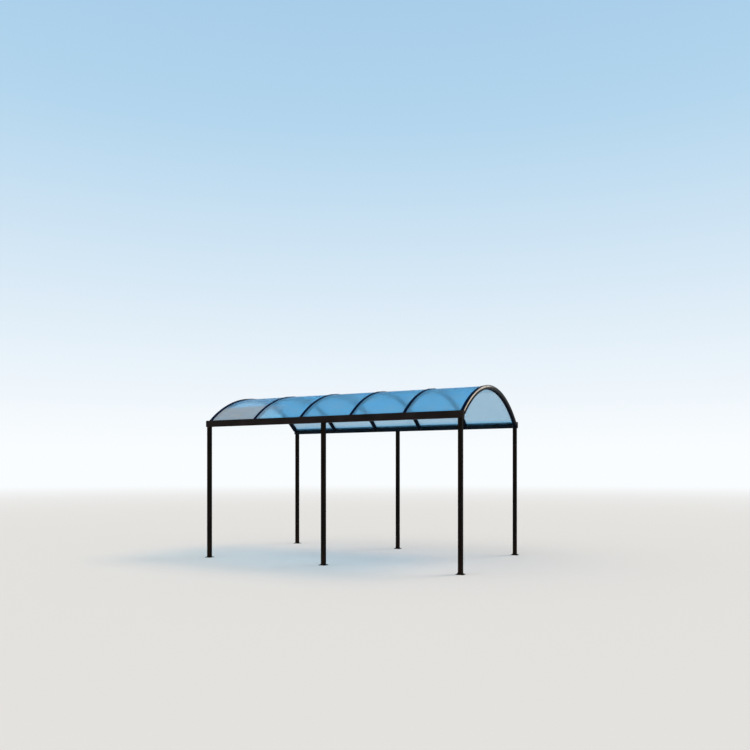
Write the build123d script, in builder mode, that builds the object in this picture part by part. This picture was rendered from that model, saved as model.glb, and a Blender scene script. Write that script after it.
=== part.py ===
from build123d import *
import os
from math import asin, degrees

os.makedirs("parts", exist_ok=True)

# A free-standing arched carport. Six posts carry two gutter beams, curved ribs span between
# the beams, and tinted sheets lie on the ribs as a barrel vault that is open at both ends.
# Millimetres, +Z up, +X along the carport, -Y is the front. The origin is on the floor, at
# the middle of the plan.

# Whole carport: the length over the gutter caps, the distance between the middles of the two
# beams, the floor to their underside, and the rise from the ribs' shoulders to their crown
carport_length = 5000
beam_spacing = 2920
clear_height = 2400
vault_rise = 528
bay_count = 5

# Base plates
plate_side = 125
plate_thickness = 8
plate_corner_chamfer = 8
anchor_spacing = 96
anchor_hole_diameter = 12

# Posts
post_side = 66
post_wall = 3
post_corner_chamfer = 2
post_inset = 50

# Gutter beams
beam_width = 80
beam_height = 115
beam_wall = 3
beam_box_height = 35
gutter_inner_height = 75
edge_roll_radius = 25
edge_lip = 6
beam_foot_chamfer = 3

# Gutter caps
cap_thickness = 6
cap_inner_corner_radius = 10
cap_plug_depth = 15
cap_plug_clearance = 0.3

# Ribs: the shoulder is how far their top stands over the gutter's inner wall, the reach how
# far they pass over it
rib_width = 50
rib_depth = 54
rib_wall = 3
rib_shoulder = 22
rib_reach = 14

# Foot plates, welded to the ribs and bolted to the gutters' inner walls beside them
foot_plate_thickness = 5
foot_plate_ear = 28
foot_plate_top_drop = 10
foot_plate_height = 56

# Roof sheets: the reach is how far they hang into the gutter
sheet_thickness = 5
sheet_reach = 32
sheet_joint_gap = 10
sheet_edge_inset = 2

# Cover strips over the joints of the sheets and over their edges at the two open ends
strip_width = 50
strip_top_width = 38
strip_height = 10

# End fascias, outside the end ribs: their rise and drop are from the sheets' upper face, their
# outer side leans in by the batter, and the nose is the bevel at the top
fascia_thickness = 14
fascia_rise = 16
fascia_drop = 28
fascia_batter = 3
fascia_nose_width = 8
fascia_nose_height = 9
fascia_clearance = 0.5

# The arch passes through both rib shoulders, over the beams' inner faces, and the crown
inner_face = beam_spacing / 2 - beam_width / 2
gutter_inner_top = clear_height + gutter_inner_height
crown_height = gutter_inner_top + rib_shoulder + vault_rise
arch_radius = (inner_face**2 + vault_rise**2) / (2 * vault_rise)
arch_centre = crown_height - arch_radius
arch_axis = Axis((0, 0, arch_centre), (1, 0, 0))
sheet_angle = degrees(asin((inner_face + sheet_reach) / arch_radius))
rib_overrun_angle = degrees(asin((inner_face + beam_width) / arch_radius))

# Places along the carport
cap_inner_face = carport_length / 2 - cap_thickness
end_post = carport_length / 2 - post_inset
end_rib = cap_inner_face - fascia_clearance - fascia_thickness - rib_width / 2
bay_length = 2 * end_rib / bay_count
rib_places = [bay_length * index - end_rib for index in range(bay_count + 1)]

sides = {"front": -1, "back": 1}
columns = {"left": -1, "middle": 0, "right": 1}
ends = {"left": -1, "right": 1}


def beam_plane(side_sign, along):
    # Lies across a beam: x runs outward from the beam's inner face, y up from its underside.
    return Plane((along, side_sign * inner_face, clear_height), (0, side_sign, 0), (side_sign, 0, 0))


def crown_plane(along, radius, end_sign=1):
    # Stands lengthwise in the crown of the vault, at a radius: x runs along it, y runs up.
    return Plane((along, 0, arch_centre + radius), (end_sign, 0, 0), (0, -end_sign, 0))


def beam_outline():
    # The outside of a beam's section, with the rolled edge at its upper outer corner.
    with BuildSketch() as outline:
        Rectangle(beam_width, beam_height, align=Align.MIN)
        chamfer(outline.vertices().group_by(Axis.Y)[0], beam_foot_chamfer)
        fillet(outline.vertices().group_by(Axis.Y)[-1].sort_by(Axis.X)[-1], edge_roll_radius)
    return outline.sketch


def beam_hollows():
    # The closed box, the gutter over it, and the gutter's open top between the low inner wall
    # and the lip of the rolled edge.
    with BuildSketch() as hollows:
        with Locations((beam_wall, beam_box_height)):
            Rectangle(
                beam_width - 2 * beam_wall,
                beam_height - beam_wall - beam_box_height,
                align=Align.MIN,
            )
        inner_roll = hollows.vertices().group_by(Axis.Y)[-1].sort_by(Axis.X)[-1]
        fillet(inner_roll, edge_roll_radius - beam_wall)
        with Locations((0, gutter_inner_height)):
            Rectangle(
                beam_width - edge_roll_radius - edge_lip,
                beam_height - gutter_inner_height,
                align=Align.MIN,
            )
        with Locations((beam_wall, beam_wall)):
            Rectangle(
                beam_width - 2 * beam_wall,
                beam_box_height - 2 * beam_wall,
                align=Align.MIN,
            )
    return hollows.sketch


def foot_cut(reach, clearance):
    # What a curved piece loses at its two feet: all beyond the beam's inner face, up to the
    # top of the gutter's inner wall, and above that all beyond the piece's own reach.
    with BuildSketch(Plane.YZ) as outline:
        with BuildLine():
            Polyline(
                (inner_face - clearance, clear_height - beam_height),
                (inner_face - clearance, gutter_inner_top + clearance),
                (inner_face + reach, gutter_inner_top + clearance),
                (inner_face + reach, crown_height),
                (inner_face + reach + beam_width, crown_height),
                (inner_face + reach + beam_width, clear_height - beam_height),
                close=True,
            )
        make_face()
        mirror(about=Plane.YZ)
    return outline.sketch


# Base plates, with an anchor hole on each side of the post, and the hollow posts on them
for side, side_sign in sides.items():
    for column, column_sign in columns.items():
        post_x = column_sign * end_post
        post_y = side_sign * beam_spacing / 2

        with BuildPart() as base_plate:
            with BuildSketch(Plane((post_x, post_y, 0))) as plate_outline:
                Rectangle(plate_side, plate_side)
                chamfer(plate_outline.vertices(), plate_corner_chamfer)
                with GridLocations(anchor_spacing, 0, 2, 1):
                    Circle(anchor_hole_diameter / 2, mode=Mode.SUBTRACT)
            extrude(amount=plate_thickness)
        base_plate.part.label = f"base_plate_{side}_{column}"
        export_step(base_plate.part, f"parts/base_plate_{side}_{column}.step")

        with BuildPart() as post:
            with BuildSketch(Plane((post_x, post_y, plate_thickness))) as post_section:
                Rectangle(post_side, post_side)
                chamfer(post_section.vertices(), post_corner_chamfer)
                Rectangle(post_side - 2 * post_wall, post_side - 2 * post_wall, mode=Mode.SUBTRACT)
            extrude(amount=clear_height - plate_thickness)
        post.part.label = f"post_{side}_{column}"
        export_step(post.part, f"parts/post_{side}_{column}.step")

# Gutter beams, and the caps that close their gutters and plug into their boxes
for side, side_sign in sides.items():
    with BuildPart() as gutter_beam:
        with BuildSketch(beam_plane(side_sign, 0)):
            add(beam_outline())
            add(beam_hollows(), mode=Mode.SUBTRACT)
        extrude(amount=cap_inner_face, both=True)
    gutter_beam.part.label = f"gutter_beam_{side}"
    export_step(gutter_beam.part, f"parts/gutter_beam_{side}.step")

    for end, end_sign in ends.items():
        cap_plane = beam_plane(side_sign, end_sign * cap_inner_face)
        outward = side_sign * end_sign
        with BuildPart() as gutter_cap:
            with BuildSketch(cap_plane) as cap_outline:
                add(beam_outline())
                inner_corner = cap_outline.vertices().group_by(Axis.Y)[-1].sort_by(Axis.X)[0]
                fillet(inner_corner, cap_inner_corner_radius)
            extrude(amount=outward * cap_thickness)
            with BuildSketch(cap_plane):
                with Locations((beam_width / 2, beam_box_height / 2)):
                    Rectangle(
                        beam_width - 2 * beam_wall - 2 * cap_plug_clearance,
                        beam_box_height - 2 * beam_wall - 2 * cap_plug_clearance,
                    )
            extrude(amount=-outward * cap_plug_depth)
        gutter_cap.part.label = f"gutter_cap_{side}_{end}"
        export_step(gutter_cap.part, f"parts/gutter_cap_{side}_{end}.step")

# Ribs: curved box sections whose feet are notched over the gutters' inner walls, with a plate
# welded across each foot. The end ribs' plates have an ear on the inboard side only.
for number, rib_place in enumerate(rib_places, start=1):
    left_ear = 0 if number == 1 else foot_plate_ear
    right_ear = 0 if number == len(rib_places) else foot_plate_ear
    with BuildPart() as arch_rib:
        with BuildSketch(crown_plane(rib_place, arch_radius - rib_depth / 2)):
            Rectangle(rib_width, rib_depth)
            Rectangle(rib_width - 2 * rib_wall, rib_depth - 2 * rib_wall, mode=Mode.SUBTRACT)
        revolve(axis=arch_axis, revolution_arc=rib_overrun_angle)
        plate_corner = (
            rib_place - rib_width / 2 - left_ear,
            -inner_face,
            gutter_inner_top - foot_plate_top_drop,
        )
        with BuildSketch(Plane(plate_corner, (1, 0, 0), (0, -1, 0))):
            Rectangle(
                rib_width + left_ear + right_ear,
                foot_plate_height,
                align=(Align.MIN, Align.MAX),
            )
        extrude(amount=-foot_plate_thickness)
        mirror(about=Plane.XZ)
        feet = foot_cut(rib_reach, 0)
        extrude(feet, amount=carport_length, both=True, mode=Mode.SUBTRACT)
    arch_rib.part.label = f"arch_rib_{number}"
    export_step(arch_rib.part, f"parts/arch_rib_{number}.step")

# Roof sheets, one to a bay: they meet over the ribs, and stop short of the outer ribs' faces
outer_edge = end_rib + rib_width / 2 - sheet_edge_inset
left_edges = [-outer_edge] + [place + sheet_joint_gap / 2 for place in rib_places[1:-1]]
right_edges = [place - sheet_joint_gap / 2 for place in rib_places[1:-1]] + [outer_edge]
for number, (left_edge, right_edge) in enumerate(zip(left_edges, right_edges), start=1):
    with BuildPart() as roof_sheet:
        with BuildSketch(crown_plane((left_edge + right_edge) / 2, arch_radius)):
            Rectangle(right_edge - left_edge, sheet_thickness, align=(Align.CENTER, Align.MIN))
        revolve(axis=arch_axis, revolution_arc=sheet_angle)
        mirror(about=Plane.XZ)
    roof_sheet.part.label = f"roof_sheet_{number}"
    export_step(roof_sheet.part, f"parts/roof_sheet_{number}.step")

# Cover strips, flat on top with sloping sides, that press on the sheets' edges over each rib
for number, rib_place in enumerate(rib_places, start=1):
    with BuildPart() as cover_strip:
        with BuildSketch(crown_plane(rib_place, arch_radius + sheet_thickness)):
            with BuildLine():
                Polyline(
                    (-strip_width / 2, 0),
                    (-strip_top_width / 2, strip_height),
                    (strip_top_width / 2, strip_height),
                    (strip_width / 2, 0),
                    close=True,
                )
            make_face()
        revolve(axis=arch_axis, revolution_arc=sheet_angle)
        mirror(about=Plane.XZ)
    cover_strip.part.label = f"cover_strip_{number}"
    export_step(cover_strip.part, f"parts/cover_strip_{number}.step")

# End fascias: bent bars on the outer sides of the end ribs, that hide the edges of the sheets
# and strips, with a battered outer side and a bevelled nose
for end, end_sign in ends.items():
    with BuildPart() as end_fascia:
        with BuildSketch(crown_plane(end_sign * end_rib, arch_radius + sheet_thickness, end_sign)):
            nose_end = rib_width / 2 + fascia_thickness - fascia_batter
            with BuildLine():
                Polyline(
                    (rib_width / 2, -fascia_drop),
                    (rib_width / 2, fascia_rise),
                    (nose_end - fascia_nose_width, fascia_rise),
                    (nose_end, fascia_rise - fascia_nose_height),
                    (rib_width / 2 + fascia_thickness, -fascia_drop),
                    close=True,
                )
            make_face()
        revolve(axis=arch_axis, revolution_arc=sheet_angle)
        mirror(about=Plane.XZ)
        feet = foot_cut(beam_width, fascia_clearance)
        extrude(feet, amount=carport_length, both=True, mode=Mode.SUBTRACT)
    end_fascia.part.label = f"end_fascia_{end}"
    export_step(end_fascia.part, f"parts/end_fascia_{end}.step")
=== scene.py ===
import bpy
import math
from mathutils import Matrix, Vector


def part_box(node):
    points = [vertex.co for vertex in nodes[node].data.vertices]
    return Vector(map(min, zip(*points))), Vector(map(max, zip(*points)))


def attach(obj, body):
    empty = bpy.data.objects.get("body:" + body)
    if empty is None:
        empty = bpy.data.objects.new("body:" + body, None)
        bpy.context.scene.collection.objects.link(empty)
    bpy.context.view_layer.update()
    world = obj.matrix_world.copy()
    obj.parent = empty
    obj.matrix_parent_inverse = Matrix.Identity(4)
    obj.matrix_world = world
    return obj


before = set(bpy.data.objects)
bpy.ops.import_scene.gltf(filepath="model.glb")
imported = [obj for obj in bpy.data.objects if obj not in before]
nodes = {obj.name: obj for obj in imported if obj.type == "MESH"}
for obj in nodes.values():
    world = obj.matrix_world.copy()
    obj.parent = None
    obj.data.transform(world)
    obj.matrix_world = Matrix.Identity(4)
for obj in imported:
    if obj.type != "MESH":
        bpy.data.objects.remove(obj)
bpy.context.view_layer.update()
print("frame loaded:", len(nodes), "CAD nodes")

# The arch that ribs, sheets, strips and fascias all follow, in metres, as in the CAD
vault = {
    "axisHeight": 0.85153,   # over the floor
    "sheetTop": 2.17847,     # radius of the sheets' outer side
    "stripTop": 2.18847,     # radius of the strips' outer side
    "footAngle": 41.5,       # degrees from the crown down to just short of the gutter
}
sides = {"front": -1, "back": 1}
ends = {"left": -1, "right": 1}
posts = [f"{side}_{column}" for side in sides for column in ("left", "middle", "right")]
ribCount = 6
# the middle of each rib, from the strip over it
ribPlaces = {}
for number in range(1, ribCount + 1):
    low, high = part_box(f"cover_strip_{number}")
    ribPlaces[number] = (low.x + high.x) / 2


# Materials

def linearColour(hexText):
    # sRGB hex to the linear colour that a shader takes
    parts = [int(hexText[i:i + 2], 16) / 255 for i in (0, 2, 4)]
    return tuple(p / 12.92 if p <= 0.04045 else ((p + 0.055) / 1.055) ** 2.4 for p in parts) + (1,)


def addNode(tree, kind, inputs=None, **settings):
    # one node: settings are its own choices, inputs are numbers or sockets to link from
    node = tree.nodes.new("ShaderNode" + kind)
    for name, value in settings.items():
        setattr(node, name, value)
    for place, value in (inputs or {}).items():
        if isinstance(value, bpy.types.NodeSocket):
            tree.links.new(value, node.inputs[place])
        else:
            node.inputs[place].default_value = value
    return node


def emptyMaterial(name):
    material = bpy.data.materials.new(name)
    material.use_nodes = True
    material.node_tree.nodes.clear()
    return material, material.node_tree


def wornEdges(tree, place, shape, body, look):
    # rounds the sharp edges in the shading, and rubs them to another colour in broken patches
    rounded = addNode(tree, "Bevel", {"Radius": look["edgeRadius"]}, samples=6)
    turn = addNode(tree, "VectorMath", {0: rounded.outputs[0], 1: shape.outputs["Normal"]},
                   operation="DOT_PRODUCT")
    rubbed = addNode(tree, "MapRange", {0: turn.outputs["Value"], 1: 0.97, 2: 0.80, 3: 0.0, 4: 1.0})
    scuffs = addNode(tree, "TexNoise", {"Vector": place, "Scale": look["scuffScale"], "Detail": 3.0})
    scuffShape = addNode(tree, "MapRange", {0: scuffs.outputs["Fac"], 1: look["scuffFrom"],
                                            2: look["scuffTo"], 3: 0.0, 4: look["edgeWear"]})
    wear = addNode(tree, "Math", {0: rubbed.outputs[0], 1: scuffShape.outputs[0]}, operation="MULTIPLY")
    body = addNode(tree, "Mix", {0: wear.outputs[0], 6: body.outputs[2],
                                 7: linearColour(look["rubbed"])}, data_type="RGBA")
    return rounded, body


def coatColour(tree, place, patches, look):
    # broad uneven fading about 400 mm across, and pigment flecks of a few mm
    fade = addNode(tree, "MapRange", {0: patches.outputs["Fac"], 1: 0.35, 2: 0.68, 3: 0.0, 4: 1.0})
    body = addNode(tree, "Mix", {0: fade.outputs[0], 6: linearColour(look["dark"]),
                                 7: linearColour(look["faded"])}, data_type="RGBA")
    flecks = addNode(tree, "TexNoise", {"Vector": place, "Scale": 260.0, "Detail": 2.0})
    fleckAmount = addNode(tree, "MapRange", {0: flecks.outputs["Fac"], 1: 0.5, 2: 0.8, 3: 0.0, 4: 0.22})
    body = addNode(tree, "Mix", {0: fleckAmount.outputs[0], 6: body.outputs[2],
                                 7: linearColour(look["fleck"])}, data_type="RGBA")
    # rain marks: narrow runs down the upright faces, 15 to 60 mm apart
    stretched = addNode(tree, "Mapping", {"Vector": place, "Scale": (42.0, 42.0, 1.6)})
    runs = addNode(tree, "TexNoise", {"Vector": stretched.outputs[0], "Scale": 1.0, "Detail": 4.0})
    runAmount = addNode(tree, "MapRange", {0: runs.outputs["Fac"], 1: 0.52, 2: 0.78, 3: 0.0,
                                           4: look["rainMarks"]})
    return addNode(tree, "Mix", {0: runAmount.outputs[0], 6: body.outputs[2],
                                 7: linearColour(look["dust"])}, data_type="RGBA")


def coatDirt(tree, place, shape, look):
    # dust lies on upward faces, broken up by a cloudy pattern about 60 mm across
    cloud = addNode(tree, "TexNoise", {"Vector": place, "Scale": 17.0, "Detail": 5.0, "Roughness": 0.6})
    facing = addNode(tree, "SeparateXYZ", {0: shape.outputs["Normal"]}).outputs["Z"]
    upward = addNode(tree, "MapRange", {0: facing, 1: 0.55, 2: 0.98, 3: 0.0, 4: look["topDust"]})
    dustOnTop = addNode(tree, "Math", {0: upward.outputs[0], 1: cloud.outputs["Fac"]}, operation="MULTIPLY")
    # soil from splashing rain fades out at about 350 mm over the floor
    height = addNode(tree, "SeparateXYZ", {0: place}).outputs["Z"]
    splash = addNode(tree, "MapRange", {0: height, 1: 0.0, 2: 0.35, 3: look["splash"], 4: 0.0})
    soil = addNode(tree, "Math", {0: splash.outputs[0], 1: cloud.outputs["Fac"]}, operation="MULTIPLY")
    return addNode(tree, "Math", {0: dustOnTop.outputs[0], 1: soil.outputs[0]}, operation="MAXIMUM")


def powderCoat(name, look):
    # Polyester powder coat, sprayed and baked on aluminium or steel: a near-black bronze with a
    # fine orange peel, a soft satin sheen, dust on what faces up and soil splashed up the feet
    material, tree = emptyMaterial(name)
    place = addNode(tree, "TexCoord").outputs["Object"]
    shape = addNode(tree, "NewGeometry")
    patches = addNode(tree, "TexNoise", {"Vector": place, "Scale": 2.6, "Detail": 3.0})
    body = coatColour(tree, place, patches, look)
    dirt = coatDirt(tree, place, shape, look)
    body = addNode(tree, "Mix", {0: dirt.outputs[0], 6: body.outputs[2],
                                 7: linearColour(look["soil"])}, data_type="RGBA")
    # the coat is a little thinner and lighter where the edges are rubbed
    rounded, body = wornEdges(tree, place, shape, body, look)

    # orange peel: dimples 2.5 mm across, drawn at their real size, and a fine 0.8 mm grain
    peel = addNode(tree, "TexNoise", {"Vector": place, "Scale": 400.0, "Detail": 1.0})
    grain = addNode(tree, "TexNoise", {"Vector": place, "Scale": 1250.0, "Detail": 0.0})
    relief = addNode(tree, "Mix", {0: 0.3, 2: peel.outputs["Fac"], 3: grain.outputs["Fac"]})
    bump = addNode(tree, "Bump", {"Strength": look["peel"], "Distance": 0.0004,
                                  "Height": relief.outputs[0], "Normal": rounded.outputs[0]})
    sheen = addNode(tree, "MapRange", {0: patches.outputs["Fac"], 1: 0.3, 2: 0.7,
                                       3: look["roughness"] - 0.06, 4: look["roughness"] + 0.06})
    dull = addNode(tree, "Mix", {0: dirt.outputs[0], 2: sheen.outputs[0], 3: 0.9})
    shader = addNode(tree, "BsdfPrincipled", {
        "Base Color": body.outputs[2], "Roughness": dull.outputs[0], "Normal": bump.outputs[0],
        "Specular IOR Level": look["specular"], "IOR": 1.5})
    addNode(tree, "OutputMaterial", {"Surface": shader.outputs[0]})
    return material


def arcPlace(tree):
    # where a point is on the vault: along the carport, out from the axis, and round the arch
    place = addNode(tree, "TexCoord").outputs["Object"]
    lowered = addNode(tree, "VectorMath", {0: place, 1: (0, 0, vault["axisHeight"])},
                      operation="SUBTRACT")
    flat = addNode(tree, "VectorMath", {0: lowered.outputs[0], 1: (0, 1, 1)}, operation="MULTIPLY")
    radius = addNode(tree, "VectorMath", {0: flat.outputs[0]}, operation="LENGTH")
    split = addNode(tree, "SeparateXYZ", {0: lowered.outputs[0]})
    angle = addNode(tree, "Math", {0: split.outputs["Y"], 1: split.outputs["Z"]}, operation="ARCTAN2")
    return {"place": place, "along": split.outputs["X"], "radius": radius.outputs["Value"],
            "angle": angle.outputs[0]}


def anodisedBar(name, look):
    # Anodised aluminium, extruded and then rolled to the arch: fine drawing lines run along the
    # bar, the colour is in the metal's own oxide, and the sheen is satin
    material, tree = emptyMaterial(name)
    arc = arcPlace(tree)
    place = arc["place"]
    shape = addNode(tree, "NewGeometry")

    # drawing lines about 1 mm apart, a little coarser than real so that they show
    lineX = addNode(tree, "Math", {0: arc["along"], 1: 900.0}, operation="MULTIPLY")
    lineR = addNode(tree, "Math", {0: arc["radius"], 1: 900.0}, operation="MULTIPLY")
    lineT = addNode(tree, "Math", {0: arc["angle"], 1: 3.0}, operation="MULTIPLY")
    lineSpace = addNode(tree, "CombineXYZ", {0: lineX.outputs[0], 1: lineR.outputs[0],
                                             2: lineT.outputs[0]})
    lines = addNode(tree, "TexNoise", {"Vector": lineSpace.outputs[0], "Scale": 1.0, "Detail": 2.0})
    # slow shade changes along the bar, as the bath leaves them
    shade = addNode(tree, "TexNoise", {"Vector": place, "Scale": 3.2, "Detail": 2.0})
    shadeAmount = addNode(tree, "MapRange", {0: shade.outputs["Fac"], 1: 0.32, 2: 0.7, 3: 0.0, 4: 1.0})
    body = addNode(tree, "Mix", {0: shadeAmount.outputs[0], 6: linearColour(look["dark"]),
                                 7: linearColour(look["light"])}, data_type="RGBA")
    lineAmount = addNode(tree, "MapRange", {0: lines.outputs["Fac"], 1: 0.35, 2: 0.7, 3: 0.0, 4: 0.25})
    body = addNode(tree, "Mix", {0: lineAmount.outputs[0], 6: body.outputs[2],
                                 7: linearColour(look["line"])}, data_type="RGBA")
    # dust that rain leaves on the flatter part near the crown, in flecks about 30 mm across
    facing = addNode(tree, "SeparateXYZ", {0: shape.outputs["Normal"]}).outputs["Z"]
    cloud = addNode(tree, "TexNoise", {"Vector": place, "Scale": 34.0, "Detail": 5.0, "Roughness": 0.65})
    upward = addNode(tree, "MapRange", {0: facing, 1: 0.7, 2: 1.0, 3: 0.0, 4: look["dustAmount"]})
    dust = addNode(tree, "Math", {0: upward.outputs[0], 1: cloud.outputs["Fac"]}, operation="MULTIPLY")
    body = addNode(tree, "Mix", {0: dust.outputs[0], 6: body.outputs[2],
                                 7: linearColour(look["dust"])}, data_type="RGBA")
    # bright metal where the oxide has rubbed off the sharp edges
    rounded, body = wornEdges(tree, place, shape, body, look)
    bump = addNode(tree, "Bump", {"Strength": look["lineDepth"], "Distance": 0.0001,
                                  "Height": lines.outputs["Fac"], "Normal": rounded.outputs[0]})
    sheen = addNode(tree, "MapRange", {0: lines.outputs["Fac"], 1: 0.3, 2: 0.7,
                                       3: look["roughness"] - 0.05, 4: look["roughness"] + 0.07})
    dull = addNode(tree, "Mix", {0: dust.outputs[0], 2: sheen.outputs[0], 3: 0.85})
    shader = addNode(tree, "BsdfPrincipled", {
        "Base Color": body.outputs[2], "Roughness": dull.outputs[0], "Normal": bump.outputs[0],
        "Metallic": look["metallic"], "Specular Tint": linearColour(look["edgeTint"])})
    addNode(tree, "OutputMaterial", {"Surface": shader.outputs[0]})
    return material


def dustFilm(tree, arc, steep, clouds):
    # how thick dust and dried rain lie, 0 to 1: the clouds with a finer speckle, and more towards
    # the eaves
    speckle = addNode(tree, "TexNoise", {"Vector": arc["place"], "Scale": 140.0, "Detail": 2.0})
    speckleAmount = addNode(tree, "MapRange", {0: speckle.outputs["Fac"], 1: 0.5, 2: 0.75, 3: 0.4,
                                               4: 1.0})
    eaves = addNode(tree, "MapRange", {0: steep, 1: 0.35, 2: 0.73, 3: 0.35, 4: 1.0})
    film = addNode(tree, "Math", {0: clouds, 1: eaves.outputs[0]}, operation="MULTIPLY")
    film = addNode(tree, "Math", {0: film.outputs[0], 1: speckleAmount.outputs[0]}, operation="MULTIPLY")
    # water marks: narrow runs down the slope, 20 to 80 mm apart
    runX = addNode(tree, "Math", {0: arc["along"], 1: 30.0}, operation="MULTIPLY")
    runT = addNode(tree, "Math", {0: arc["angle"], 1: 2.2}, operation="MULTIPLY")
    runSpace = addNode(tree, "CombineXYZ", {0: runX.outputs[0], 1: runT.outputs[0]})
    runs = addNode(tree, "TexNoise", {"Vector": runSpace.outputs[0], "Scale": 1.0, "Detail": 4.0})
    runAmount = addNode(tree, "MapRange", {0: runs.outputs["Fac"], 1: 0.52, 2: 0.8, 3: 0.0, 4: 1.0})
    marks = addNode(tree, "Math", {0: film.outputs[0], 1: runAmount.outputs[0]}, operation="MAXIMUM")
    return marks.outputs[0]


def frontGreyPatch(tree, arc, cloud, look):
    # the first sheet's front is paler, and grey towards its foot, as is the nearest corner of the second
    firstSheet = addNode(tree, "MapRange", {0: arc["along"], 1: -1.50, 2: -1.45,
                                            3: look["firstGrey"], 4: 0.0})
    nextCorner = addNode(tree, "MapRange", {0: arc["along"], 1: -1.45, 2: -0.95,
                                            3: look["cornerGrey"], 4: 0.0})
    paleness = addNode(tree, "Math", {0: firstSheet.outputs[0], 1: nextCorner.outputs[0]},
                       operation="MAXIMUM")
    footward = addNode(tree, "MapRange", {0: arc["angle"], 1: -0.43, 2: -0.53, 3: 0.0, 4: 1.0},
                       interpolation_type="SMOOTHSTEP")
    cloudy = addNode(tree, "MapRange", {0: cloud, 1: 0.3, 2: 0.7, 3: 0.75, 4: 1.1})
    greyPatch = addNode(tree, "Math", {0: paleness.outputs[0], 1: footward.outputs[0]},
                     operation="MULTIPLY")
    greyPatch = addNode(tree, "Math", {0: greyPatch.outputs[0], 1: cloudy.outputs[0]}, operation="MULTIPLY")
    return paleness.outputs[0], greyPatch.outputs[0]


def sheetTint(tree, arc, steep, slant, clouds, paleness, look):
    # seen at a slant, the way through the sheet is longer and its blue is deeper
    deepness = addNode(tree, "MapRange", {0: slant, 1: 0.64, 2: 0.88, 3: 0.0, 4: 1.0},
                       interpolation_type="SMOOTHSTEP")
    tint = addNode(tree, "Mix", {0: deepness.outputs[0], 6: linearColour(look["front"]),
                                 7: linearColour(look["deep"])}, data_type="RGBA")
    tint = addNode(tree, "Mix", {0: paleness, 6: tint.outputs[2],
                                 7: linearColour(look["pale"])}, data_type="RGBA")
    # the slope to the back is a paler, greyer blue than the front's
    across = addNode(tree, "SeparateXYZ", {0: arc["place"]}).outputs["Y"]
    towardsBack = addNode(tree, "MapRange", {0: across, 1: -0.28, 2: 0.12, 3: 0.0, 4: 1.0},
                    interpolation_type="SMOOTHSTEP")
    tint = addNode(tree, "Mix", {0: towardsBack.outputs[0], 6: tint.outputs[2],
                                 7: linearColour(look["back"])}, data_type="RGBA")
    hazeAmount = addNode(tree, "Math", {0: clouds, 1: 0.5}, operation="MULTIPLY")
    tint = addNode(tree, "Mix", {0: hazeAmount.outputs[0], 6: tint.outputs[2],
                                 7: linearColour(look["hazy"])}, data_type="RGBA")
    # the last 100 mm or so over the gutter is darker and bluer: painted shade and reflection of the gutter
    # below, with the dirt that rain leaves there
    gutterShadeAndDirt = addNode(tree, "MapRange", {0: steep, 1: 0.66, 2: 0.715, 3: 0.0, 4: look["gutterShadeAndDirtAmount"]},
                   interpolation_type="SMOOTHSTEP")
    tint = addNode(tree, "Mix", {0: gutterShadeAndDirt.outputs[0], 6: tint.outputs[2],
                                 7: linearColour(look["gutterShadeAndDirt"])}, data_type="RGBA")
    return tint.outputs[2]


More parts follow.
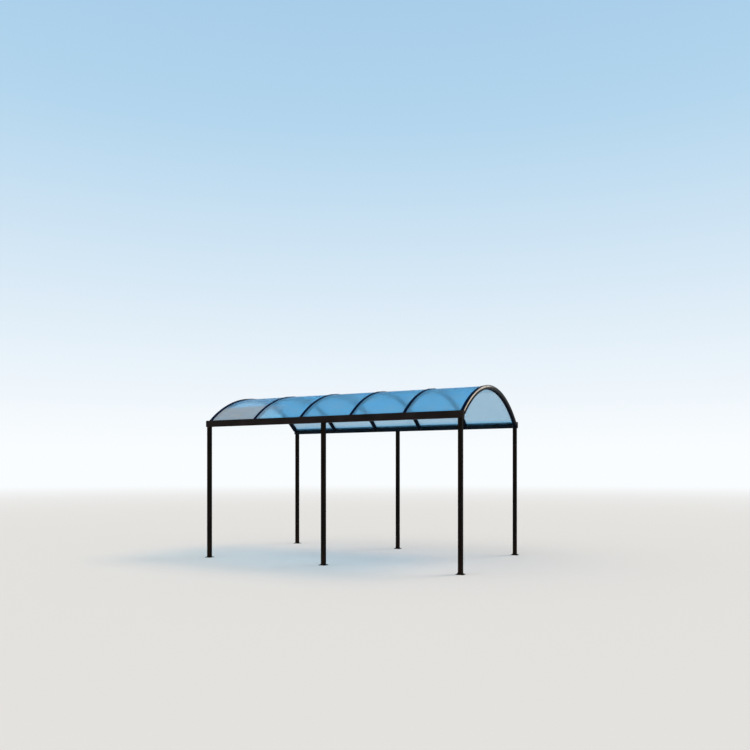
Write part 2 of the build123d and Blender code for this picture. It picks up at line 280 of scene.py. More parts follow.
def tintedSheet(name, look):
    # Solid polycarbonate, extruded flat with a blue tint and bent cold over the ribs: clear and
    # glossy outside, with faint flow waves along its length and a film of dust
    material, tree = emptyMaterial(name)
    arc = arcPlace(tree)
    steep = addNode(tree, "Math", {0: arc["angle"]}, operation="ABSOLUTE").outputs[0]
    slant = addNode(tree, "LayerWeight", {"Blend": 0.5}).outputs["Facing"]
    # soft clouds of dust about 250 mm across
    cloud = addNode(tree, "TexNoise", {"Vector": arc["place"], "Scale": 4.0, "Detail": 6.0,
                                       "Roughness": 0.62}).outputs["Fac"]
    clouds = addNode(tree, "MapRange", {0: cloud, 1: 0.4, 2: 0.72, 3: 0.0, 4: 1.0}).outputs[0]
    marks = dustFilm(tree, arc, steep, clouds)
    paleness, greyPatch = frontGreyPatch(tree, arc, cloud, look)
    tint = sheetTint(tree, arc, steep, slant, clouds, paleness, look)

    # extrusion waves about 60 mm across bend the reflections slightly
    waves = addNode(tree, "TexNoise", {"Vector": arc["place"], "Scale": 16.0, "Detail": 0.0})
    bump = addNode(tree, "Bump", {"Strength": 0.12, "Distance": 0.0006, "Height": waves.outputs["Fac"]})
    gloss = addNode(tree, "MapRange", {0: marks, 1: 0.0, 2: 1.0, 3: look["roughness"],
                                       4: look["roughness"] + 0.05})
    sheet = addNode(tree, "BsdfPrincipled", {
        "Base Color": tint, "Roughness": gloss.outputs[0], "Normal": bump.outputs[0],
        "Transmission Weight": look["clarity"], "IOR": look["ior"],
        "Specular IOR Level": look["specular"]})
    # the fine film takes away most of the mirror at a slant and leaves what shines through
    halfTint = addNode(tree, "Gamma", {"Color": tint, "Gamma": 0.5})
    through = addNode(tree, "BsdfRefraction", {
        "Color": halfTint.outputs[0], "Roughness": gloss.outputs[0], "IOR": look["ior"],
        "Normal": bump.outputs[0]})
    veil = addNode(tree, "MapRange", {0: slant, 1: 0.45, 2: 0.85, 3: 0.0, 4: look["slantVeil"]})
    sheet = addNode(tree, "MixShader", {0: veil.outputs[0], 1: sheet.outputs[0], 2: through.outputs[0]})
    # dust covers the sheet where it lies, and the same grey covers the first sheet's front towards its foot
    dust = addNode(tree, "BsdfPrincipled", {
        "Base Color": linearColour(look["dust"]), "Roughness": 0.9, "Specular IOR Level": 0.2})
    dustAmount = addNode(tree, "Math", {0: marks, 1: look["dustAmount"]}, operation="MULTIPLY")
    dustAmount = addNode(tree, "Math", {0: dustAmount.outputs[0], 1: greyPatch}, operation="MAXIMUM")
    dusty = addNode(tree, "MixShader", {0: dustAmount.outputs[0], 1: sheet.outputs[0], 2: dust.outputs[0]})
    # lamps shine through and throw a blue shadow: each face lets through the square root of a
    # whole sheet's colour
    clear = addNode(tree, "BsdfTransparent", {"Color": linearColour(look["shadow"])})
    ray = addNode(tree, "LightPath")
    both = addNode(tree, "MixShader", {0: ray.outputs["Is Shadow Ray"], 1: dusty.outputs[0],
                                       2: clear.outputs[0]})
    addNode(tree, "OutputMaterial", {"Surface": both.outputs[0]})
    return material


def zincSteel(name, look):
    # Steel, cold headed, zinc-plated and blackened: dark grey with cloudy patches and light rust
    material, tree = emptyMaterial(name)
    place = addNode(tree, "TexCoord").outputs["Object"]
    cloud = addNode(tree, "TexNoise", {"Vector": place, "Scale": 260.0, "Detail": 3.0})
    rust = addNode(tree, "TexNoise", {"Vector": place, "Scale": 420.0, "Detail": 5.0, "Roughness": 0.7})
    body = addNode(tree, "Mix", {0: cloud.outputs["Fac"], 6: linearColour(look["dark"]),
                                 7: linearColour(look["light"])}, data_type="RGBA")
    rustAmount = addNode(tree, "MapRange", {0: rust.outputs["Fac"], 1: 0.56, 2: 0.72, 3: 0.0,
                                            4: look["rustAmount"]})
    body = addNode(tree, "Mix", {0: rustAmount.outputs[0], 6: body.outputs[2],
                                 7: linearColour(look["rust"])}, data_type="RGBA")
    metal = addNode(tree, "MapRange", {0: rustAmount.outputs[0], 1: 0.0, 2: 0.6, 3: 1.0, 4: 0.1})
    sheen = addNode(tree, "MapRange", {0: cloud.outputs["Fac"], 1: 0.3, 2: 0.7,
                                       3: look["roughness"] - 0.08, 4: look["roughness"] + 0.12})
    bump = addNode(tree, "Bump", {"Strength": 0.3, "Distance": 0.0001, "Height": rust.outputs["Fac"]})
    shader = addNode(tree, "BsdfPrincipled", {
        "Base Color": body.outputs[2], "Roughness": sheen.outputs[0], "Metallic": metal.outputs[0],
        "Normal": bump.outputs[0]})
    addNode(tree, "OutputMaterial", {"Surface": shader.outputs[0]})
    return material


def sealRubber(name, look):
    # EPDM rubber, extruded: dull black with a bloom of grey where the sun has aged it
    material, tree = emptyMaterial(name)
    place = addNode(tree, "TexCoord").outputs["Object"]
    bloom = addNode(tree, "TexNoise", {"Vector": place, "Scale": 45.0, "Detail": 5.0, "Roughness": 0.6})
    skin = addNode(tree, "TexNoise", {"Vector": place, "Scale": 900.0, "Detail": 1.0})
    amount = addNode(tree, "MapRange", {0: bloom.outputs["Fac"], 1: 0.45, 2: 0.75, 3: 0.0, 4: 0.5})
    body = addNode(tree, "Mix", {0: amount.outputs[0], 6: linearColour(look["black"]),
                                 7: linearColour(look["bloom"])}, data_type="RGBA")
    bump = addNode(tree, "Bump", {"Strength": 0.35, "Distance": 0.0002, "Height": skin.outputs["Fac"]})
    dull = addNode(tree, "MapRange", {0: bloom.outputs["Fac"], 1: 0.3, 2: 0.7, 3: 0.6, 4: 0.85})
    shader = addNode(tree, "BsdfPrincipled", {
        "Base Color": body.outputs[2], "Roughness": dull.outputs[0], "Normal": bump.outputs[0],
        "Specular IOR Level": 0.3})
    addNode(tree, "OutputMaterial", {"Surface": shader.outputs[0]})
    return material


# specular levels, and the sheets' ior, are matched to how little the weathered surfaces mirror:
# fresh coats take about 0.5, and fresh polycarbonate 1.58
coatLook = {
    "dark": "0e0a07", "faded": "17110d", "fleck": "211b16", "dust": "2a2420", "soil": "402c21",
    "rubbed": "453b33", "rainMarks": 0.14, "topDust": 0.2, "splash": 0.4, "edgeRadius": 0.0012,
    "edgeWear": 0.5, "scuffScale": 90.0, "scuffFrom": 0.42, "scuffTo": 0.66, "peel": 0.3,
    "roughness": 0.55, "specular": 0.025,
}
plateLook = dict(coatLook, topDust=0.05, splash=0.1, rainMarks=0.04, specular=0.012)
beamLook = dict(coatLook, dark="1b1615", faded="272120", splash=0.0, topDust=0.1)
# the back beam's coat is painted blue-black: the blue shade that the tinted roof throws on it, painted into
# its colour
backBeamBlueShadeLook = dict(beamLook, dark="121a20", faded="1a242c", fleck="1d2228", specular=0.015)
# the ribs' coat is painted blue-black: the blue shade under the tinted roof, painted into its colour
ribBlueShadeLook = dict(coatLook, dark="080e1a", faded="0f1826", splash=0.0, topDust=0.1, rainMarks=0.06,
               specular=0.01)
stripLook = {
    "dark": "0a1424", "light": "122036", "line": "1e2c42", "dust": "3c434c", "rubbed": "7b828c",
    "dustAmount": 0.2, "edgeRadius": 0.0008, "edgeWear": 0.4, "scuffScale": 120.0,
    "scuffFrom": 0.45, "scuffTo": 0.7, "lineDepth": 0.25, "roughness": 0.40, "metallic": 1.0,
    "edgeTint": "a9bde0",
}
fasciaLook = dict(
    stripLook, dark="3a352f", light="454039", line="5a544c", dust="6d6459", rubbed="b3a99c",
    dustAmount=0.3, edgeRadius=0.001, edgeWear=0.5, lineDepth=0.2, roughness=0.10, edgeTint="a8abaf")
sheetLook = {
    "front": "86d4f9", "deep": "76deff", "back": "b8d7ea", "hazy": "afd4e8", "pale": "b2d8f4",
    "dust": "a9b0b6", "shadow": "b8d6e6", "roughness": 0.10, "dustAmount": 0.07, "firstGrey": 0.7,
    "cornerGrey": 0.30, "gutterShadeAndDirt": "5cbbe6", "gutterShadeAndDirtAmount": 0.7, "slantVeil": 0.74, "clarity": 0.76,
    "ior": 1.33, "specular": 0.25,
}
boltLook = {"dark": "303132", "light": "4a4b4b", "rust": "4a2f1e", "rustAmount": 0.5,
            "roughness": 0.42}
screwLook = dict(boltLook, dark="35322f", light="4d4943", rustAmount=0.2, roughness=0.45)
rubberLook = {"black": "131314", "bloom": "3b3b3c"}

coatPost = powderCoat("powder_coat_bronze_posts", coatLook)
coatPlate = powderCoat("powder_coat_bronze_plates", plateLook)
coatBeam = powderCoat("powder_coat_bronze_beams", beamLook)
coatBackBeamBlueShade = powderCoat("powder_coat_beam_painted_blue_shade", backBeamBlueShadeLook)
coatRibBlueShade = powderCoat("powder_coat_ribs_painted_blue_shade", ribBlueShadeLook)
anodisedStrip = anodisedBar("anodised_aluminium_dark", stripLook)
anodisedFascia = anodisedBar("anodised_aluminium_bronze", fasciaLook)
sheetBlue = tintedSheet("polycarbonate_blue_tint", sheetLook)
zincBolt = zincSteel("black_zinc_steel", boltLook)
bronzeScrew = zincSteel("bronzed_steel_screws", screwLook)
rubberBlack = sealRubber("epdm_rubber_black", rubberLook)

nodeFinishes = {
    "base_plate": coatPlate, "post": coatPost, "gutter_beam_front": coatBeam,
    "gutter_beam_back": coatBackBeamBlueShade, "gutter_cap": coatBeam,
    "arch_rib": coatRibBlueShade, "roof_sheet": sheetBlue, "cover_strip": anodisedStrip,
    "end_fascia": anodisedFascia,
}
for nodeName, cadObject in nodes.items():
    finish = next(m for start, m in nodeFinishes.items() if nodeName.startswith(start))
    cadObject.data.materials.clear()
    cadObject.data.materials.append(finish)
print("materials made and given to the CAD nodes")


# New pieces

nearness = {"same": 0.0001, "merge": 0.00001}    # closer than this, two places are one


def inwardSides(number):
    # the sides on which a rib has a neighbour: an end rib has one, the others have two
    return [side for side in (-1, 1) if 1 <= number + side <= ribCount]


def aroundArch(degrees):
    # turns a piece from the crown round the vault's axis, where it stands by its radius
    return Matrix.Translation((0, 0, vault["axisHeight"])) @ Matrix.Rotation(math.radians(degrees), 4, "X")


def spread(step, count, foot):
    # the angle of one of count places that lie evenly from one foot of the arch to the other
    return foot * (2 * step / (count - 1) - 1)


def deselectAll():
    if bpy.context.object and bpy.context.object.mode != "OBJECT":
        bpy.ops.object.mode_set(mode="OBJECT")
    bpy.ops.object.select_all(action="DESELECT")


def selectFaces(piece, wanted):
    # leaves the piece in edit mode with the faces selected whose centre and normal are wanted
    bpy.ops.object.mode_set(mode="EDIT")
    bpy.ops.mesh.select_mode(type="FACE")
    bpy.ops.mesh.select_all(action="DESELECT")
    bpy.ops.object.mode_set(mode="OBJECT")
    for face in piece.data.polygons:
        face.select = wanted(face.center, face.normal)
    bpy.ops.object.mode_set(mode="EDIT")


def facesUp(centre, normal):
    return normal.z > 0.9


def turnNormalsOut():
    # over the whole piece, which is in edit mode
    bpy.ops.mesh.select_all(action="SELECT")
    bpy.ops.mesh.normals_make_consistent(inside=False)


def growTop(rise, factor, centre):
    # pulls the selected top face up and makes it wider or narrower
    bpy.ops.mesh.extrude_region_move(TRANSFORM_OT_translate={"value": (0, 0, rise)})
    bpy.ops.transform.resize(value=(factor, factor, 1), center_override=centre)


def startCylinder(corners, radius, low, high):
    deselectAll()
    bpy.ops.mesh.primitive_cylinder_add(vertices=corners, radius=radius, depth=high - low,
                                        location=(0, 0, (low + high) / 2))
    piece = bpy.context.object
    bpy.ops.object.transform_apply(location=True, rotation=True, scale=True)
    return piece


def endPart(piece, material, smoothAngle=40):
    deselectAll()
    piece.select_set(True)
    bpy.context.view_layer.objects.active = piece
    bpy.ops.object.shade_smooth_by_angle(angle=math.radians(smoothAngle))
    piece.data.materials.clear()
    piece.data.materials.append(material)
    return piece


def joinParts(parts):
    deselectAll()
    for part in parts:
        part.select_set(True)
    bpy.context.view_layer.objects.active = parts[0]
    if len(parts) > 1:
        bpy.ops.object.join()
    return parts[0]


def placeCopy(source, matrix):
    copy = source.copy()
    copy.data = source.data.copy()
    copy.data.transform(matrix)
    bpy.context.scene.collection.objects.link(copy)
    return copy


def keepPiece(piece, name):
    piece.name = name
    piece.data.name = name
    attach(piece, "root")


# how far the broken edges of washers and nuts rise, in shares of the height, and how they narrow
brokenEdge = {"washerRise": 0.3, "washerTop": 0.88, "nutRise": 0.12, "nutTop": 0.86, "nutRim": 0.12}


def makeWasher(corners, radius, low, high, material):
    # a flat ring and its broken edge over it; the hole is filled by what passes through it
    ring = startCylinder(corners, radius, low, high)
    selectFaces(ring, facesUp)
    growTop((high - low) * brokenEdge["washerRise"], brokenEdge["washerTop"], (0, 0, high))
    return endPart(ring, material)


def makeHexHead(radius, low, high, material):
    # a hexagon with its corners turned down to a cone at the top
    head = startCylinder(6, radius, low, high)
    selectFaces(head, facesUp)
    growTop((high - low) * brokenEdge["nutRise"], brokenEdge["nutTop"], (0, 0, high))
    bpy.ops.mesh.inset(thickness=radius * brokenEdge["nutRim"])
    return endPart(head, material, 25)


anchorBolt = {
    "washerRadius": 0.010, "washerThickness": 0.002, "washerWall": 0.00154,
    "nutRadius": 0.0098, "nutHeight": 0.0075,      # M10 nut, 17 mm across its flats
    "studRadius": 0.0046, "studOver": 0.001,       # the plain stud over the nut, then its thread
    "threadPitch": 0.0015, "threadTurns": 4, "threadRoot": 0.86,
    "tipHeight": 0.0006, "tipTop": 0.78,
    "spacing": 0.048,                              # from the post's middle to each bolt
}


def makeAnchorBolt(sizes):
    washerTop = sizes["washerThickness"]
    nutTop = washerTop + sizes["nutHeight"]
    washer = makeWasher(24, sizes["washerRadius"], 0, sizes["washerWall"], zincBolt)
    nut = makeHexHead(sizes["nutRadius"], washerTop, nutTop, zincBolt)
    stud = startCylinder(12, sizes["studRadius"], washerTop, nutTop + sizes["studOver"])
    selectFaces(stud, facesUp)
    top = (0, 0, nutTop)
    for _ in range(sizes["threadTurns"]):
        growTop(sizes["threadPitch"] / 2, sizes["threadRoot"], top)
        growTop(sizes["threadPitch"] / 2, 1 / sizes["threadRoot"], top)
    growTop(sizes["tipHeight"], sizes["tipTop"], top)
    endPart(stud, zincBolt, 20)
    return joinParts([washer, nut, stud])


boltModel = makeAnchorBolt(anchorBolt)
for post in posts:
    low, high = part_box(f"base_plate_{post}")
    middle = (low + high) / 2
    bolts = []
    for side in (-1, 1):
        spot = (middle.x + side * anchorBolt["spacing"], middle.y, high.z)
        turn = Matrix.Rotation(0.35 * side + middle.x, 4, "Z")   # no two nuts stand alike
        bolts.append(placeCopy(boltModel, Matrix.Translation(spot) @ turn))
    keepPiece(joinParts(bolts), f"anchor_bolts_{post}")
bpy.data.objects.remove(boltModel)
print("anchor bolts placed")

weldBead = {"leg": 0.004, "postHalf": 0.033, "foot": 0.008, "head": 2.400,
            "rim": 0.0006, "swell": 0.0011, "intoPost": 0.0005}


def makeWeldRing(sizes, low, upward):
    # a fillet weld round a square post: a block, pulled in to the post at one end, and then bored
    half = sizes["postHalf"]
    outer = half + sizes["leg"]
    narrow = (half + sizes["rim"]) / outer
    deselectAll()
    bpy.ops.mesh.primitive_cube_add(size=1, location=(0, 0, low + upward * sizes["leg"] / 2),
                                    scale=(2 * outer, 2 * outer, sizes["leg"]))
    ring = bpy.context.object
    bpy.ops.object.transform_apply(location=True, rotation=True, scale=True)
    selectFaces(ring, lambda centre, normal: normal.z * upward > 0.9)
    bpy.ops.transform.resize(value=(narrow, narrow, 1), center_override=(0, 0, low))
    # the sloping sides bulge a little, as laid weld metal does
    selectFaces(ring, lambda centre, normal: abs(normal.z) < 0.9)
    bpy.ops.mesh.subdivide(number_cuts=3)
    bpy.ops.object.mode_set(mode="OBJECT")
    for vertex in ring.data.vertices:
        rise = abs(vertex.co.z - low) / sizes["leg"]
        swell = 1 + sizes["swell"] / outer * math.sin(math.pi * rise)
        vertex.co.x *= swell
        vertex.co.y *= swell
    # the bore goes a little into the post's sides
    for end, width in ((upward, sizes["rim"]), (-upward, sizes["leg"])):
        selectFaces(ring, lambda centre, normal: normal.z * end > 0.9)
        bpy.ops.mesh.inset(thickness=width + sizes["intoPost"])
    selectFaces(ring, lambda centre, normal: abs(normal.z) > 0.9
                and max(abs(centre.x), abs(centre.y)) < 0.9 * half)
    bpy.ops.mesh.bridge_edge_loops()
    turnNormalsOut()
    return endPart(ring, coatPost, 50)


for post in posts:
    low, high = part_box(f"post_{post}")
    middle = (low + high) / 2
    for label, upward in (("foot", 1), ("head", -1)):
        ring = makeWeldRing(weldBead, weldBead[label], upward)
        ring.data.transform(Matrix.Translation((middle.x, middle.y, 0)))
        keepPiece(ring, f"weld_{label}_{post}")
print("weld beads laid at the posts")

# a wall is the height of the upright sides, and a broken edge comes on top of it
footScrew = {"headRadius": 0.0075, "headWall": 0.004675, "flangeRadius": 0.0105, "flangeWall": 0.0016,
             "besideRib": 0.039, "middleHeight": 2.437, "apart": 0.014, "face": 1.415}
roofScrew = {"washerRadius": 0.0080, "washerWall": 0.00154, "washerHeight": 0.0022,
             "flangeRadius": 0.0068, "flangeWall": 0.0010, "headRadius": 0.0046, "headWall": 0.00357,
             "count": 12, "footAngle": 39.5}


def makeFlangeScrew(sizes, rubber):
    # a hexagon-headed screw with its flange, over a rubber washer where the joint must be tight
    parts = []
    base = 0.0
    if rubber:
        parts.append(makeWasher(12, sizes["washerRadius"], 0, sizes["washerWall"], rubberBlack))
        base = sizes["washerHeight"]
    flangeTop = base + sizes["flangeWall"]
    headTop = flangeTop + sizes["headWall"]
    parts.append(makeWasher(12, sizes["flangeRadius"], base, flangeTop, bronzeScrew))
    parts.append(makeHexHead(sizes["headRadius"], flangeTop, headTop, bronzeScrew))
    return joinParts(parts)


footModel = makeFlangeScrew(footScrew, False)
for sideName, sideSign in sides.items():
    inboard = Matrix.Rotation(math.radians(90 * sideSign), 4, "X")   # the head points to the middle
    for number, ribX in ribPlaces.items():
        screws = []
        for ear in inwardSides(number):
            for lift in (-1, 1):
                spot = (ribX + ear * footScrew["besideRib"], sideSign * footScrew["face"],
                        footScrew["middleHeight"] + lift * footScrew["apart"])
                turn = Matrix.Rotation(number * 0.7 + lift + ear * 0.4, 4, "Z")   # no two alike
                screws.append(placeCopy(footModel, Matrix.Translation(spot) @ inboard @ turn))
        keepPiece(joinParts(screws), f"foot_screws_{sideName}_{number}")
bpy.data.objects.remove(footModel)

roofModel = makeFlangeScrew(roofScrew, True)
for number, ribX in ribPlaces.items():
    screws = []
    for step in range(roofScrew["count"]):
        screws.append(placeCopy(
            roofModel,
            aroundArch(spread(step, roofScrew["count"], roofScrew["footAngle"]))
            @ Matrix.Translation((ribX, 0, vault["stripTop"]))
            @ Matrix.Rotation(step * 1.3 + number, 4, "Z")))
    keepPiece(joinParts(screws), f"strip_screws_{number}")
bpy.data.objects.remove(roofModel)

panScrew = {"radius": 0.0045, "height": 0.0015, "dome": 0.0008, "domeTop": 0.74, "rim": 0.00144,
            "recessFloor": 0.9, "capFace": 2.500, "capHeight": 2.4175, "capPlaces": (1.440, 1.480),
            "fasciaFace": 2.4919, "fasciaRadius": 2.1685, "fasciaLean": 4.9, "fasciaCount": 9,
            "fasciaFoot": 36.0}


def makePanScrew(sizes):
    # a low domed head with a round recess for the driver
    head = startCylinder(12, sizes["radius"], 0, sizes["height"])
    top = (0, 0, sizes["height"])
    selectFaces(head, facesUp)
    growTop(sizes["dome"], sizes["domeTop"], top)
    bpy.ops.mesh.inset(thickness=sizes["rim"])
    growTop(-sizes["dome"], sizes["recessFloor"], top)
    return endPart(head, bronzeScrew, 35)


panModel = makePanScrew(panScrew)
for sideName, sideSign in sides.items():
    for endName, endSign in ends.items():
        outward = Matrix.Rotation(math.radians(90 * endSign), 4, "Y")
        screws = []
        for across in panScrew["capPlaces"]:
            spot = (endSign * panScrew["capFace"], sideSign * across, panScrew["capHeight"])
            screws.append(placeCopy(panModel, Matrix.Translation(spot) @ outward))
        keepPiece(joinParts(screws), f"cap_screws_{sideName}_{endName}")
for endName, endSign in ends.items():
    spot = (endSign * panScrew["fasciaFace"], 0, panScrew["fasciaRadius"])
    outward = Matrix.Rotation(math.radians(endSign * (90 - panScrew["fasciaLean"])), 4, "Y")
    screws = []
    for step in range(panScrew["fasciaCount"]):
        turn = aroundArch(spread(step, panScrew["fasciaCount"], panScrew["fasciaFoot"]))
        screws.append(placeCopy(panModel, turn @ Matrix.Translation(spot) @ outward))
    keepPiece(joinParts(screws), f"fascia_screws_{endName}")
bpy.data.objects.remove(panModel)
print("screws driven")

ribWeld = {"leg": 0.004, "hollow": 0.42, "ribHalf": 0.025, "face": 1.415, "under": 2.4295,
           "plateTop": 2.465}


def makeWeldStick(length, sizes):
    # a straight bead along +Z in the corner of two faces, which are its -X and +Y sides
    leg = sizes["leg"]
    deselectAll()
    bpy.ops.mesh.primitive_cube_add(size=1, location=(leg / 2, -leg / 2, length / 2),
                                    scale=(leg, leg, length))
    stick = bpy.context.object
    bpy.ops.object.transform_apply(location=True, rotation=True, scale=True)
    selectFaces(stick, lambda centre, normal: abs(normal.z) < 0.5)
    bpy.ops.mesh.subdivide(number_cuts=2)
    bpy.ops.object.mode_set(mode="OBJECT")
    # the free corner is drawn in, so that the bead bulges only a little from a flat fillet
    for vertex in stick.data.vertices:
        out = min(vertex.co.x / leg, -vertex.co.y / leg)
        vertex.co.x -= sizes["hollow"] * leg * out
        vertex.co.y += sizes["hollow"] * leg * out
    return endPart(stick, coatRibBlueShade, 50)


for sideName, sideSign in sides.items():
    for number, ribX in ribPlaces.items():
        beads = []
        for ear in inwardSides(number):
            upright = makeWeldStick(ribWeld["plateTop"] - ribWeld["under"], ribWeld)
            upright.data.transform(
                Matrix.Translation((ribX + ear * ribWeld["ribHalf"], sideSign * ribWeld["face"],
                                    ribWeld["under"]))
                @ Matrix.Diagonal((ear, sideSign, 1, 1)))
            beads.append(upright)
        level = makeWeldStick(2 * ribWeld["ribHalf"], ribWeld)
        level.data.transform(
            Matrix.Translation((ribX - ribWeld["ribHalf"], sideSign * ribWeld["face"], ribWeld["under"]))
            @ Matrix.Diagonal((1, sideSign, 1, 1))
            @ Matrix.Rotation(math.radians(90), 4, "Y"))
        beads.append(level)
        bead = joinParts(beads)
        bpy.ops.object.mode_set(mode="EDIT")
        turnNormalsOut()
        bpy.ops.object.mode_set(mode="OBJECT")
        keepPiece(bead, f"rib_weld_{sideName}_{number}")
print("rib feet welded")

sealLip = {"width": 0.0045, "height": 0.0035, "droop": 0.65, "stripHalf": 0.025, "steps": 48}
fasciaShadeBead = {"inner": 2.4795, "outer": 2.5025, "top": 2.1570, "bottom": 2.1240,
                "rounding": 0.0060, "footAngle": 40.8, "steps": 56}


def startSection(lowX, highX, lowRadius, highRadius):
    # an upright section at the crown, x along the carport and its height by the vault's radius
    deselectAll()
    bpy.ops.mesh.primitive_plane_add(
        size=1, location=((lowX + highX) / 2, 0, vault["axisHeight"] + (lowRadius + highRadius) / 2),
        rotation=(math.radians(90), 0, 0))
    section = bpy.context.object
    section.scale = (highX - lowX, highRadius - lowRadius, 1)
    bpy.ops.object.transform_apply(location=True, rotation=True, scale=True)
    return section


def spinThroughArch(section, footAngle, steps, material, smoothAngle=30):
    # leans the section back to one foot and spins it over the crown to the other
    section.data.transform(aroundArch(footAngle) @ Matrix.Translation((0, 0, -vault["axisHeight"])))
    bpy.ops.object.mode_set(mode="EDIT")
    bpy.ops.mesh.select_all(action="SELECT")
    bpy.ops.mesh.spin(steps=steps, angle=math.radians(2 * footAngle),
                      center=(0, 0, vault["axisHeight"]), axis=(1, 0, 0))
    bpy.ops.mesh.select_all(action="SELECT")
    bpy.ops.mesh.remove_doubles(threshold=nearness["merge"])
    turnNormalsOut()
    return endPart(section, material, smoothAngle)


def makeSealLip(edgeX, outward, sizes):
    # a rubber lip from under a strip's edge, whose outer upper corner comes down to the sheet
    low = vault["sheetTop"]
    tip = edgeX + outward * sizes["width"]
    middle = vault["axisHeight"] + low + sizes["height"] / 2
    lip = startSection(min(edgeX, tip), max(edgeX, tip), low, low + sizes["height"])
    for vertex in lip.data.vertices:
        if abs(vertex.co.x - tip) < nearness["same"] and vertex.co.z > middle:
            vertex.co.z -= sizes["height"] * sizes["droop"]
    return spinThroughArch(lip, vault["footAngle"], sizes["steps"], rubberBlack)


def makeShadeBead(endSign, sizes):
    # a black rubber bead along the end rib's side at the fascia's lower edge, its free corners rounded: a
    # dark strip put as painted shade where the fascia's shadow falls
    lowX, highX = sorted((endSign * sizes["inner"], endSign * sizes["outer"]))
    bead = startSection(lowX, highX, sizes["bottom"], sizes["top"])
    bpy.ops.object.mode_set(mode="EDIT")
    bpy.ops.mesh.select_mode(type="VERT")
    bpy.ops.mesh.select_all(action="DESELECT")
    bpy.ops.object.mode_set(mode="OBJECT")
    for vertex in bead.data.vertices:
        vertex.select = abs(abs(vertex.co.x) - sizes["outer"]) < nearness["same"]
    bpy.ops.object.mode_set(mode="EDIT")
    bpy.ops.mesh.bevel(offset=sizes["rounding"], segments=3, affect="VERTICES")
    bpy.ops.object.mode_set(mode="OBJECT")
    return spinThroughArch(bead, sizes["footAngle"], sizes["steps"], rubberBlack)


for number, ribX in ribPlaces.items():
    lips = [makeSealLip(ribX + outward * sealLip["stripHalf"], outward, sealLip)
            for outward in inwardSides(number)]
    keepPiece(joinParts(lips), f"strip_seals_{number}")
# the black bead under each fascia is painted shade, a dark strip where the fascia's shadow falls
for endName, endSign in ends.items():
    keepPiece(makeShadeBead(endSign, fasciaShadeBead), f"fascia_shade_bead_{endName}")
print("seals laid beside the cover strips and edging below the fascias")

# Stage, light and camera

stageLook = {
    "floorSize": 400.0, "floor": "e6e6e5", "horizon": "fafdff", "middle": "b4d6ee", "high": "74acd9",
    "horizonTo": 0.03, "middleAt": 0.43, "highAt": 0.95,     # heights in the sky, 1 is overhead
    "fadeStart": 7.0, "fadeEnd": 80.0, "ambient": 0.62,
}
suns = {
    "soft_key": {"direction": (0.45, 0.5, 1.0), "angle": 25, "strength": 1.1, "colour": "fff0de"},
    "soft_fill": {"direction": (-0.6, -0.9, 1.0), "angle": 60, "strength": 0.5, "colour": "f2f7ff"},
}
gleam = {"place": (14.2, 27.0, 7.4), "aim": (2.5, 0, 2.9), "width": 6.2, "height": 3.6,
         "power": 1600.0, "colour": "fff8ee"}


def seenBySight(tree):
    # 1 for what the camera, a mirror or a clear sheet shows, and 0 for what lights the object
    ray = addNode(tree, "LightPath")
    seen = addNode(tree, "Math", {0: ray.outputs["Is Camera Ray"], 1: ray.outputs["Is Glossy Ray"]},
                   operation="MAXIMUM")
    seen = addNode(tree, "Math", {0: seen.outputs[0], 1: ray.outputs["Is Transmission Ray"]},
                   operation="MAXIMUM")
    return seen.outputs[0]


def makeFloor(look):
    # a plain floor that fades far away into the light at the horizon
    deselectAll()
    bpy.ops.mesh.primitive_plane_add(size=look["floorSize"], location=(0, 0, 0))
    floor = bpy.context.object
    floor.name = "floor"
    material, tree = emptyMaterial("studio_floor")
    place = addNode(tree, "TexCoord").outputs["Object"]
    away = addNode(tree, "VectorMath", {0: place}, operation="LENGTH")
    fade = addNode(tree, "MapRange", {0: away.outputs["Value"], 1: look["fadeStart"], 2: look["fadeEnd"],
                                      3: 0.0, 4: 1.0}, interpolation_type="SMOOTHSTEP")
    matt = addNode(tree, "BsdfDiffuse", {"Color": linearColour(look["floor"])})
    distant = addNode(tree, "Emission", {"Color": linearColour(look["horizon"]), "Strength": 1.0})
    share = addNode(tree, "Math", {0: fade.outputs[0], 1: seenBySight(tree)}, operation="MULTIPLY")
    blend = addNode(tree, "MixShader", {0: share.outputs[0], 1: matt.outputs[0], 2: distant.outputs[0]})
    addNode(tree, "OutputMaterial", {"Surface": blend.outputs[0]})
    floor.data.materials.append(material)


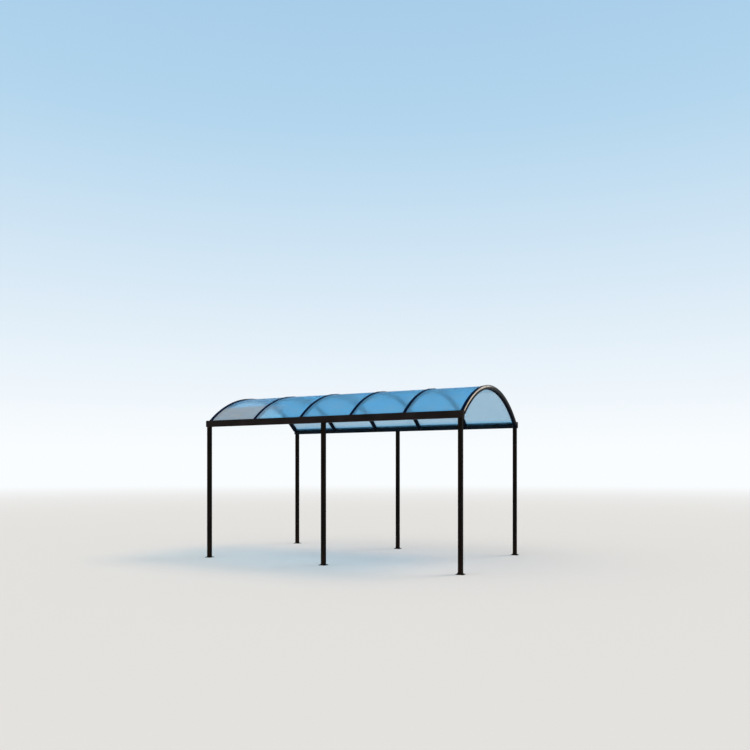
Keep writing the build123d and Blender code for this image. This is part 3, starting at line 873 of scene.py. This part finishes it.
def makeAir(look):
    world = bpy.data.worlds.new("studio_air")
    bpy.context.scene.world = world
    world.use_nodes = True
    tree = world.node_tree
    tree.nodes.clear()
    direction = addNode(tree, "TexCoord").outputs["Generated"]
    upward = addNode(tree, "SeparateXYZ", {0: direction}).outputs["Z"]
    low = addNode(tree, "MapRange", {0: upward, 1: look["horizonTo"], 2: look["middleAt"], 3: 0.0, 4: 1.0})
    top = addNode(tree, "MapRange", {0: upward, 1: look["middleAt"], 2: look["highAt"], 3: 0.0, 4: 1.0})
    sky = addNode(tree, "Mix", {0: low.outputs[0], 6: linearColour(look["horizon"]),
                                7: linearColour(look["middle"])}, data_type="RGBA")
    sky = addNode(tree, "Mix", {0: top.outputs[0], 6: sky.outputs[2],
                                7: linearColour(look["high"])}, data_type="RGBA")
    # what lights the object is plain white air, and the blue is only seen and mirrored
    seen = seenBySight(tree)
    strength = addNode(tree, "MapRange", {0: seen, 1: 0.0, 2: 1.0, 3: look["ambient"], 4: 1.0})
    light = addNode(tree, "Mix", {0: seen, 6: linearColour(look["horizon"]), 7: sky.outputs[2]},
                    data_type="RGBA")
    air = addNode(tree, "Background", {"Color": light.outputs[2], "Strength": strength.outputs[0]})
    addNode(tree, "OutputWorld", {"Surface": air.outputs[0]})


def addSun(name, sun):
    # a broad sun lights the whole floor evenly; it is too soft to show as a spot in the sheets
    direction = Vector(sun["direction"])
    bpy.ops.object.light_add(type="SUN", location=direction * 20)
    lamp = bpy.context.object
    lamp.name = name
    lamp.data.angle = math.radians(sun["angle"])
    lamp.data.energy = sun["strength"]
    lamp.data.color = linearColour(sun["colour"])[:3]
    lamp.rotation_euler = direction.to_track_quat("Z", "Y").to_euler()
    lamp.visible_glossy = False


def addGleam(name, panel, shownOn):
    # a warm panel that shows as a gleam on the bright trim alone, as the low sun does there
    bpy.ops.object.light_add(type="AREA", location=panel["place"])
    lamp = bpy.context.object
    lamp.name = name
    lamp.data.shape = "RECTANGLE"
    lamp.data.size = panel["width"]
    lamp.data.size_y = panel["height"]
    lamp.data.energy = panel["power"]
    lamp.data.color = linearColour(panel["colour"])[:3]
    towards = Vector(panel["aim"]) - Vector(panel["place"])
    lamp.rotation_euler = towards.to_track_quat("-Z", "Y").to_euler()
    lamp.visible_camera = False
    lamp.visible_diffuse = False
    lamp.visible_transmission = False
    lamp.light_linking.receiver_collection = bpy.data.collections.new(name + "_shown_on")
    for piece in shownOn:
        lamp.light_linking.receiver_collection.objects.link(piece)


makeFloor(stageLook)
makeAir(stageLook)
for sunName, sun in suns.items():
    addSun(sunName, sun)
addGleam("low_sun_gleam", gleam, [nodes["end_fascia_left"], nodes["end_fascia_right"]])

camera = {"place": (6.3187, -11.8474, 1.5686), "turn": 27.2125, "lens": 34.517, "shiftY": 0.1294}
bpy.ops.object.camera_add(location=camera["place"],
                          rotation=(math.radians(90), 0, math.radians(camera["turn"])))
cameraObject = bpy.context.object
cameraObject.data.lens = camera["lens"]
cameraObject.data.sensor_width = 36.0
cameraObject.data.shift_y = camera["shiftY"]
cameraObject.data.clip_end = 500.0
bpy.context.scene.camera = cameraObject
bpy.context.scene.view_settings.view_transform = "Standard"
print("stage, lamps and camera set")
